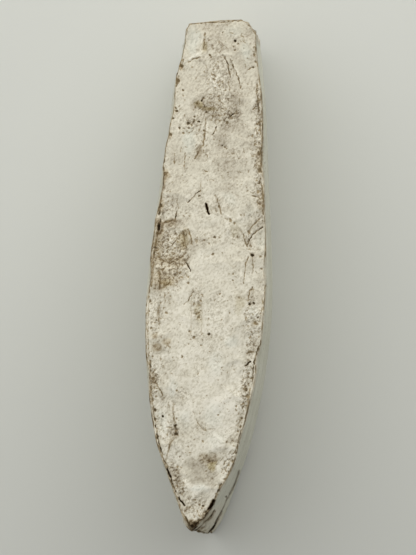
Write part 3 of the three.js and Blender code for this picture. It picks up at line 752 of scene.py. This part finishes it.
# What is painted on the skin for the material to read, each from 0 to 1. Tone runs from bare flint
# to chalky patina. It also holds painted light and shade: it is painted lighter towards the blade and
# along ridge crests, and some dark patches are painted shade. Cool, brown and olive are tints, rough
# is how grainy and speckled the patina is, and ground is how far the skin is ground. A mark is where
# soil fills a crack or a pit: its edge lies at a half, and ink is how dark it is inside.
LAYERS = ("tone", "cool", "brown", "olive", "rough", "ground", "mark", "ink")

# How much full strength of a patch changes each layer.
PATCH_EFFECTS = {
    "light": {"tone": 0.08},
    "cool": {"tone": 0.04, "cool": 1},
    "dark": {"tone": -0.24, "rough": 0.3},
    "brown": {"brown": 1, "tone": -0.05, "rough": 0.1},
    "olive": {"olive": 1, "tone": -0.05},
}


def add_mark(layers, chosen, shape, strength):
    """Lays a mark over the chosen points where it stands out more than the ones before it."""
    wins = shape > layers["mark"][chosen]
    layers["ink"][chosen] = np.where(wins, strength, layers["ink"][chosen])
    layers["mark"][chosen] = np.maximum(layers["mark"][chosen], shape)


def shaken(points, places, reach_px, size, seed):
    """Places moved about by up to that many pixels, so that what is laid there looks ragged."""
    shift = [lumps(points, size, seed + offset) for offset in (0, 50)]
    return places + reach_px * np.array(shift).T


def lay_patches(layers, seen, broad_places, facing):
    """Adds the rough parts, the patches of tone and the smooth parts that the photograph shows. The
    first two fade where the stone turns away from the camera."""
    for x, y, half_x, half_y, turn, strength in ROUGH_PX:
        share = blot(broad_places, x, y, half_x, half_y, turn) * strength * facing
        layers["rough"][seen] = np.maximum(layers["rough"][seen], share)
    for kind, x, y, half_x, half_y, turn, strength in PATCHES_PX:
        share = blot(broad_places, x, y, half_x, half_y, turn) * strength * facing
        for name, effect in PATCH_EFFECTS[kind].items():
            layers[name][seen] += share * effect
    for x, y, half_x, half_y, turn, strength in SMOOTH_PX:
        share = blot(broad_places, x, y, half_x, half_y, turn) * strength
        layers["rough"][seen] *= 1 - share


def mark_seen_side(skin, layers, heights, sizes, seen, squareness):
    """Adds the patches, ridges, cracks and pits that the photograph shows."""
    points = skin.points[seen]
    places = photo_places(points)
    broad_places = shaken(points, places, reach_px=3, size=3.5 * MM, seed=31)
    lay_patches(layers, seen, broad_places, smooth_step(squareness, 0.03, 0.2))
    fine_places = shaken(points, places, reach_px=0.9, size=1 * MM, seed=67)
    for line, width, strength in RIDGES_PX:
        shape = 1 - smooth_step(distance_to_line(fine_places, line) / width, 0, 1)
        # A painted highlight: the ridge's crest is painted paler.
        layers["tone"][seen] += 0.2 * strength * shape
        layers["ground"][seen] *= 1 - strength * shape
        heights[seen] += strength * shape * sizes.ridge_height

    # The soil in a crack comes and goes along it, except in the strongest, which are dark throughout.
    broken = np.clip(1 + 0.8 * lumps(points, 1.2 * MM, seed=53), 0.2, 1.2)
    sunk = np.zeros(len(points))
    for line, width, strength in CRACKS_PX:
        shape = 1 - distance_to_line(fine_places, line) / width
        whole = smooth_step(strength, 0.85, 1)
        ink = strength * (broken * (1 - whole) + whole)
        add_mark(layers, seen, shape * (0.78 + 0.22 * whole), ink)
        near = smooth_step(shape, 0.1, 0.8) * strength
        sunk = np.maximum(sunk, near * sizes.crack_depth)
    for x, y, radius, strength in PITS_PX:
        away = np.hypot(*(fine_places - (x, y)).T)
        shape = 1 - away / (2 * radius)
        add_mark(layers, seen, shape, strength)
        near = smooth_step(shape, 0.1, 0.8) * strength
        sunk = np.maximum(sunk, near * sizes.pit_depth)
    heights[seen] -= sunk


def spots_of_marks(points, tree, seed, pits, cracks):
    """Random pits, and cracks that wander over the skin, as spots of a place, radius and strength.
    After each step of a crack, the skin draws it back by the share that it holds."""
    step_mm, half_width_mm, hold = 0.35, 0.26, 0.35
    chance = random.Random(seed)
    spots = []
    for _ in range(pits):
        place = points[chance.randrange(len(points))]
        spots.append((place, chance.uniform(0.25, 0.6) * MM, chance.uniform(0.4, 1)))
    for _ in range(cracks):
        place = Vector(points[chance.randrange(len(points))])
        heading = Vector([chance.uniform(-1, 1) for _ in range(3)]).normalized()
        strength = chance.uniform(0.4, 0.9)
        for _ in range(chance.randrange(8, 30)):
            turn = Vector([chance.uniform(-0.3, 0.3) for _ in range(3)])
            heading = (heading + turn).normalized()
            ahead = place + heading * step_mm * MM
            drawn = ahead.lerp(tree.find(ahead)[0], hold)
            heading = (heading + (drawn - ahead) / MM).normalized()
            place = drawn
            spots.append((place, half_width_mm * MM, strength))
    return spots


def mark_unseen_sides(skin, layers, heights, sizes, unseen):
    """Scatters pits and short cracks over the sides that the photograph doesn't show. They are faint
    where the stone is ground."""
    points = skin.points[unseen]
    tree = kdtree.KDTree(len(points))
    for i, point in enumerate(points):
        tree.insert(point, i)
    tree.balance()
    spots = spots_of_marks(points, tree, seed=12, pits=260, cracks=90)
    for place, radius, strength in spots:
        found = tree.find_range(place, 2 * radius)
        chosen = unseen[[i for _, i, _ in found]]
        shape = 1 - np.array([away for _, _, away in found]) / (2 * radius)
        strength = strength * (1 - 0.8 * layers["ground"][chosen])
        add_mark(layers, chosen, shape, strength)
        near = smooth_step(shape, 0.1, 0.8) * strength
        heights[chosen] -= 0.3 * near * sizes.pit_depth


def wear_down(skin, wear):
    """Rounds the arrises. No point moves by more than the wear, so the cutting edge hardly recedes."""
    worn = skin.relax(skin.points, rounds=6) - skin.points
    reach = np.linalg.norm(worn, axis=1, keepdims=True)
    skin.points += worn * np.minimum(1, wear / np.maximum(reach, wear))


def pull_outline(skin):
    """Draws the skin off its CAD solid, at the places in PULLS_MM."""
    for place, reach_mm, move in PULLS_MM:
        away = np.linalg.norm(skin.points - np.multiply(place, MM), axis=1)
        share = 1 - smooth_step(away / (reach_mm * MM), 0.2, 1)
        skin.points += share[:, None] * np.multiply(move, MM)


def ground_share(skin, normals):
    """How far each point is ground. Grinding reached the broad faces, but not the arrises nor the
    deepest scars."""
    broad = smooth_step(np.abs(normals[:, 0]), 0.75, 0.92)
    width = np.abs(skin.points[:, 0])
    scar = smooth_step(skin.relax(width, rounds=120) - width, 0.1 * MM, 0.25 * MM)
    inner = skin.relax(broad, rounds=60) + 0.05 * lumps(skin.points, 4 * MM, seed=15)
    return smooth_step(inner, 0.86, 1) * (1 - scar)


def base_layers(skin, normals, ground, seen):
    """The layers before any single mark is laid on the skin."""
    points = skin.points
    layers = {name: np.zeros(len(points)) for name in LAYERS}

    # Arrises stand proud of the smoothed skin, and hollows lie under it.
    proud = np.sum((points - skin.relax(points, rounds=30)) * normals, axis=1)
    arris = smooth_step(proud, 0.05 * MM, 0.2 * MM)
    hollow = smooth_step(-proud, 0.03 * MM, 0.15 * MM)

    # Ground faces that the photograph doesn't show have weathered in patches.
    weathered = smooth_step(lumps(points, 18 * MM, seed=41), 0.1, 0.5)
    weathered[seen] = 0
    layers["ground"] = ground * (1 - 0.6 * weathered)

    # The tone is painted lighter towards the blade: painted light, making up for the key light that
    # falls off from the butt. The patina is also thinner in hollows.
    to_blade = 0.5 - points[:, 1] / (stone_high.y - stone_low.y)
    layers["tone"] = 0.72 + 0.24 * to_blade - 0.1 * hollow
    layers["tone"] += 0.06 * lumps(points, 11 * MM, seed=5)
    layers["rough"] = 0.12 + 0.25 * smooth_step(lumps(points, 8 * MM, seed=9), 0, 0.5)

    # Iron stains are scattered over the knapped sides that the photograph doesn't show.
    stains = smooth_step(lumps(points, 15 * MM, seed=21), 0.25, 0.6) * (1 - ground)
    stains[seen] = 0
    layers["brown"] = stains
    layers["tone"] -= 0.2 * stains

    # Soil clings to the arrises, more in some places than in others.
    patchy = np.clip(0.5 + 1.2 * lumps(points, 3 * MM, seed=77), 0, 1)
    add_mark(layers, slice(None), 0.72 * arris, 0.15 + 0.6 * patchy)
    return layers


def make_stone(sizes, colours):
    """Draws the stone over its CAD solid, then wears, marks and dresses it."""
    stone = skin_of(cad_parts["axe_head"], sizes.skin_step)
    skin = Skin(stone.data)
    wear_down(skin, sizes.wear)
    pull_outline(skin)
    normals = skin.normals()
    points = skin.points
    ground = ground_share(skin, normals)
    knapped = 1 - ground

    # The photograph shows the upper side, and the right broad face at a slant. On the left broad
    # face its marks stop just past the arris.
    facing = facing_camera(points, normals)
    shown = facing > np.where(normals[:, 0] > -0.5, 0.03, 0.12)
    seen = np.flatnonzero(shown)
    unseen = np.flatnonzero(~shown)
    layers = base_layers(skin, normals, ground, seen)

    # Lumps and grains lie in and out of the CAD surface by about as much.
    heights = sizes.lump_depth * (0.3 - np.abs(lumps(points, 9 * MM, seed=3))) * knapped
    heights -= sizes.grinding_depth * np.abs(lumps(points, 14 * MM, seed=8)) * ground
    mark_unseen_sides(skin, layers, heights, sizes, unseen)
    mark_seen_side(skin, layers, heights, sizes, seen, facing[seen])
    grain = sizes.grain_depth * (0.4 + np.clip(layers["rough"], 0, 1)) * knapped
    heights += grain * lumps(points, 1.2 * MM, seed=88)
    skin.push(heights)
    skin.points = np.clip(skin.points, stone_low, stone_high)
    skin.store()
    for name, values in layers.items():
        skin.paint(name, values)
    stone.data.materials.append(patinated_flint(colours))
    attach(stone, "root")
    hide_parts("axe_head")


def add_node(material, kind, inputs=None, output=0, **settings):
    """Adds a shader node with its settings and inputs, and returns one of its outputs. An input is a
    value or another node's output."""
    tree = material.node_tree
    node = tree.nodes.new(kind)
    for name, value in settings.items():
        setattr(node, name, value)
    for socket, value in (inputs or {}).items():
        if isinstance(value, bpy.types.NodeSocket):
            tree.links.new(value, node.inputs[socket])
        else:
            node.inputs[socket].default_value = value
    return node.outputs[output]


def patina_grains(flint, place):
    """The grains of the patina: slanting, 0.6 mm wide and 1 mm long."""
    slanting = add_node(
        flint,
        "ShaderNodeMapping",
        {"Vector": place, "Rotation": (0, 0, math.radians(-38)), "Scale": (1, 1.7, 1)},
        vector_type="TEXTURE",
    )
    return add_node(
        flint,
        "ShaderNodeTexNoise",
        {
            "Vector": slanting,
            "Scale": 1 / (0.6 * MM),
            "Detail": 2,
            "Roughness": 0.5,
            "Distortion": 0.4,
        },
    )


def patina_value(flint, place, layer, centred, cloudy):
    """Where the patina stands between bare flint and chalk. Dark grains stand out more than pale
    ones, and all of them more where it is rough."""
    strayed = add_node(flint, "ShaderNodeMath", {0: centred}, operation="ABSOLUTE")
    skewed = add_node(
        flint,
        "ShaderNodeMath",
        {0: strayed, 1: -0.4, 2: centred},
        operation="MULTIPLY_ADD",
    )
    contrast = add_node(
        flint, "ShaderNodeMath", {0: layer["rough"], 1: 0.55}, operation="ADD"
    )
    value = add_node(
        flint,
        "ShaderNodeMath",
        {0: skewed, 1: contrast, 2: layer["tone"]},
        operation="MULTIPLY_ADD",
    )
    value = add_node(flint, "ShaderNodeMath", {0: value, 1: cloudy}, operation="ADD")

    # Fine crooked lines, where grains of patina meet, show on the rough parts.
    winding = add_node(
        flint,
        "ShaderNodeTexNoise",
        {"Vector": place, "Scale": 1 / (1.3 * MM), "Detail": 3, "Distortion": 0.8},
    )
    winding = add_node(
        flint, "ShaderNodeMath", {0: winding, 1: 0.5}, operation="SUBTRACT"
    )
    winding = add_node(flint, "ShaderNodeMath", {0: winding}, operation="ABSOLUTE")
    lines = add_node(
        flint,
        "ShaderNodeMapRange",
        {"Value": winding, "From Max": 0.035, "To Min": -0.45, "To Max": 0},
    )
    return add_node(
        flint,
        "ShaderNodeMath",
        {0: lines, 1: layer["rough"], 2: value},
        operation="MULTIPLY_ADD",
    )


def patina_colour(flint, layer, value, grains, colours):
    """The colour of the patina, with its stains."""
    colour = add_node(flint, "ShaderNodeValToRGB", {"Fac": value})
    stops = colour.node.color_ramp.elements
    first, last = stops
    first.position = 0.15
    first.color = colours.bare
    last.color = colours.chalk
    stops.new(0.5).color = colours.thin
    stops.new(0.78).color = colours.patina

    # Stains tint the patina, most of all in its darker grains.
    darker = add_node(
        flint,
        "ShaderNodeMapRange",
        {"Value": grains, "From Min": 0.35, "From Max": 0.65, "To Min": 1, "To Max": 0.5},
    )
    for name, tint in (
        ("cool", colours.cool),
        ("brown", colours.brown),
        ("olive", colours.olive),
    ):
        share = add_node(
            flint,
            "ShaderNodeMath",
            {0: layer[name], 1: darker},
            operation="MULTIPLY",
        )
        colour = add_node(
            flint,
            "ShaderNodeMix",
            {0: share, 6: colour, 7: tuple(tint)},
            output=2,
            data_type="RGBA",
            blend_type="MULTIPLY",
        )
    return colour


def ground_colour(flint, place, cloudy, colours):
    """The colour of ground flint: denser, greyer and faintly streaked along the stone."""
    along = add_node(
        flint, "ShaderNodeMapping", {"Vector": place, "Scale": (1, 0.12, 1)}
    )
    streaks = add_node(
        flint,
        "ShaderNodeTexNoise",
        {"Vector": along, "Scale": 1 / (2.5 * MM), "Detail": 5, "Roughness": 0.6},
    )
    streaks = add_node(
        flint,
        "ShaderNodeMath",
        {0: cloudy, 1: 1.5, 2: streaks},
        operation="MULTIPLY_ADD",
    )
    streaks = add_node(
        flint,
        "ShaderNodeMapRange",
        {"Value": streaks, "From Min": 0.3, "From Max": 0.7},
        interpolation_type="SMOOTHSTEP",
    )
    return add_node(
        flint,
        "ShaderNodeMix",
        {0: streaks, 6: tuple(colours.smoke), 7: tuple(colours.ground)},
        output=2,
        data_type="RGBA",
    )


def soil_share(flint, place, layer, centred):
    """How much soil lies on the skin. It fills the cracks and pits up to a ragged edge, which breaks
    up the weaker ones, and it sits in fine specks on the rough parts."""
    loose = add_node(
        flint,
        "ShaderNodeMath",
        {0: layer["ink"], 1: -2.2, 2: 2.6},
        operation="MULTIPLY_ADD",
    )
    ragged = add_node(
        flint,
        "ShaderNodeMath",
        {0: centred, 1: loose, 2: layer["mark"]},
        operation="MULTIPLY_ADD",
    )
    filled = add_node(
        flint,
        "ShaderNodeMapRange",
        {"Value": ragged, "From Min": 0.28, "From Max": 0.62},
        interpolation_type="SMOOTHSTEP",
    )
    filled = add_node(
        flint, "ShaderNodeMath", {0: filled, 1: layer["ink"]}, operation="MULTIPLY"
    )
    specks = add_node(
        flint,
        "ShaderNodeTexNoise",
        {"Vector": place, "Scale": 1 / (0.8 * MM), "Detail": 2, "Roughness": 0.5},
    )
    specks = add_node(
        flint,
        "ShaderNodeMath",
        {0: layer["rough"], 1: 0.13, 2: specks},
        operation="MULTIPLY_ADD",
    )
    specks = add_node(
        flint,
        "ShaderNodeMapRange",
        {"Value": specks, "From Min": 0.64, "From Max": 0.78, "To Max": 0.5},
    )
    return add_node(
        flint, "ShaderNodeMath", {0: filled, 1: specks}, operation="MAXIMUM"
    )


def patinated_flint(colours):
    """Flint under a chalky patina: matt, grainy and stained where knapped, satin where ground."""
    flint = bpy.data.materials.new("patinated_flint")
    flint.use_nodes = True
    shader = flint.node_tree.nodes["Principled BSDF"]
    links = flint.node_tree.links
    # Flint is quartz, and this is its index.
    shader.inputs["IOR"].default_value = 1.54
    place = add_node(flint, "ShaderNodeTexCoord", output="Object")
    layer = {
        name: add_node(
            flint, "ShaderNodeAttribute", output="Fac", attribute_name=name
        )
        for name in LAYERS
    }

    # The patina is uneven in clouds of 5 mm and in fine grains. The clouds show on ground flint too.
    clouds = add_node(
        flint, "ShaderNodeTexNoise", {"Vector": place, "Scale": 1 / (5 * MM), "Detail": 3}
    )
    cloudy = add_node(
        flint, "ShaderNodeMapRange", {"Value": clouds, "To Min": -0.08, "To Max": 0.08}
    )
    grains = patina_grains(flint, place)
    centred = add_node(
        flint, "ShaderNodeMath", {0: grains, 1: 0.5}, operation="SUBTRACT"
    )
    value = patina_value(flint, place, layer, centred, cloudy)
    colour = patina_colour(flint, layer, value, grains, colours)
    polished = ground_colour(flint, place, cloudy, colours)
    colour = add_node(
        flint,
        "ShaderNodeMix",
        {0: layer["ground"], 6: colour, 7: polished},
        output=2,
        data_type="RGBA",
    )

    # A little soil tints the stone like dust, and much of it darkens it.
    soiled = soil_share(flint, place, layer, centred)
    soil = add_node(flint, "ShaderNodeValToRGB", {"Fac": soiled})
    stops = soil.node.color_ramp.elements
    clean, filled_up = stops
    clean.color = (1, 1, 1, 1)
    filled_up.color = colours.soil
    stops.new(0.5).color = colours.dust
    colour = add_node(
        flint,
        "ShaderNodeMix",
        {0: 1, 6: colour, 7: soil},
        output=2,
        data_type="RGBA",
        blend_type="MULTIPLY",
    )
    links.new(colour, shader.inputs["Base Color"])

    # Grinding has left a low satin gloss. The patina is matt, and soil doesn't shine at all.
    gloss = add_node(
        flint,
        "ShaderNodeMath",
        {0: layer["ground"], 1: -0.36, 2: 0.78},
        operation="MULTIPLY_ADD",
    )
    links.new(gloss, shader.inputs["Roughness"])
    shine = add_node(
        flint,
        "ShaderNodeMath",
        {0: soiled, 1: -0.4, 2: 0.4},
        operation="MULTIPLY_ADD",
    )
    links.new(shine, shader.inputs["Specular IOR Level"])

    # A relief of 0.12 mm: pale grains stand out and soil lies deep, hardly at all where it is ground.
    relief = add_node(
        flint,
        "ShaderNodeMath",
        {0: soiled, 1: -0.8, 2: value},
        operation="MULTIPLY_ADD",
    )
    unground = add_node(
        flint,
        "ShaderNodeMath",
        {0: layer["ground"], 1: -0.85, 2: 1},
        operation="MULTIPLY_ADD",
    )
    relief = add_node(
        flint, "ShaderNodeMath", {0: relief, 1: unground}, operation="MULTIPLY"
    )
    bump = add_node(
        flint,
        "ShaderNodeBump",
        {"Height": relief, "Strength": 0.4, "Distance": 0.12 * MM},
    )
    links.new(bump, shader.inputs["Normal"])
    return flint


def make_lamp(name, place, size, watts):
    """A square soft light that shines on the stone and isn't seen itself."""
    light = bpy.data.lights.new(name, "AREA")
    light.size = size
    light.energy = watts
    lamp = bpy.data.objects.new(name, light)
    lamp.location = place
    lamp.rotation_euler = (-lamp.location).to_track_quat("-Z", "Y").to_euler()
    lamp.visible_camera = False
    bpy.context.scene.collection.objects.link(lamp)


def make_stage(settings):
    """Pale paper, 4 m wide, under the stone, and soft light from above its butt."""
    bpy.ops.mesh.primitive_plane_add(size=4)
    floor = bpy.context.object
    floor.name = "paper_floor"
    # Uncoated paper scatters the light evenly, without a gloss.
    paper = bpy.data.materials.new("matt_paper")
    paper.use_nodes = True
    shader = paper.node_tree.nodes["Principled BSDF"]
    shader.inputs["Base Color"].default_value = tuple(settings.floor)
    shader.inputs["Roughness"].default_value = 0.9
    floor.data.materials.append(paper)
    world = bpy.data.worlds.new("studio")
    bpy.context.scene.world = world
    world.use_nodes = True
    sky = world.node_tree.nodes["Background"]
    sky.inputs["Color"].default_value = (1, 1, 1, 1)
    sky.inputs["Strength"].default_value = settings.fill_strength
    make_lamp("key_light", KEY_PLACE, settings.key_size, settings.key_watts)
    make_lamp("back_light", BACK_PLACE, settings.back_size, settings.back_watts)


class AXE_OT_stage(bpy.types.Operator):
    """Make the camera, the floor and the lights"""

    bl_idname = "flint_axe.stage"
    bl_label = "Studio stage"

    def execute(self, context):
        settings = context.scene.flint_axe_stage
        make_camera(settings)
        make_stage(settings)
        context.scene.view_settings.view_transform = "Standard"
        return {"FINISHED"}


class AXE_OT_stone(bpy.types.Operator):
    """Make the stone over its CAD solid"""

    bl_idname = "flint_axe.stone"
    bl_label = "Flint axe head"

    def execute(self, context):
        make_stone(context.scene.flint_axe_sizes, context.scene.flint_axe_colours)
        return {"FINISHED"}


class AXE_PT_panel(bpy.types.Panel):
    bl_idname = "AXE_PT_panel"
    bl_label = "Flint axe"
    bl_space_type = "VIEW_3D"
    bl_region_type = "UI"
    bl_category = "Flint axe"

    def draw(self, context):
        for operator in OPERATORS:
            self.layout.operator(operator.bl_idname)
        for group in PROPERTY_GROUPS:
            settings = getattr(context.scene, group)
            for name in settings.bl_rna.properties.keys():
                if name not in ("rna_type", "name"):
                    self.layout.prop(settings, name)


OPERATORS = (AXE_OT_stage, AXE_OT_stone)
PROPERTY_GROUPS = {
    "flint_axe_sizes": StoneSizes,
    "flint_axe_colours": StoneColours,
    "flint_axe_stage": StageSettings,
}


def register():
    for name, group in PROPERTY_GROUPS.items():
        bpy.utils.register_class(group)
        setattr(bpy.types.Scene, name, bpy.props.PointerProperty(type=group))
    for cls in (*OPERATORS, AXE_PT_panel):
        bpy.utils.register_class(cls)


def unregister():
    for cls in (*OPERATORS, AXE_PT_panel):
        bpy.utils.unregister_class(cls)
    for name, group in PROPERTY_GROUPS.items():
        delattr(bpy.types.Scene, name)
        bpy.utils.unregister_class(group)


def main():
    register()
    bpy.ops.flint_axe.stage()
    bpy.ops.flint_axe.stone()


if __name__ == "__main__":
    main()
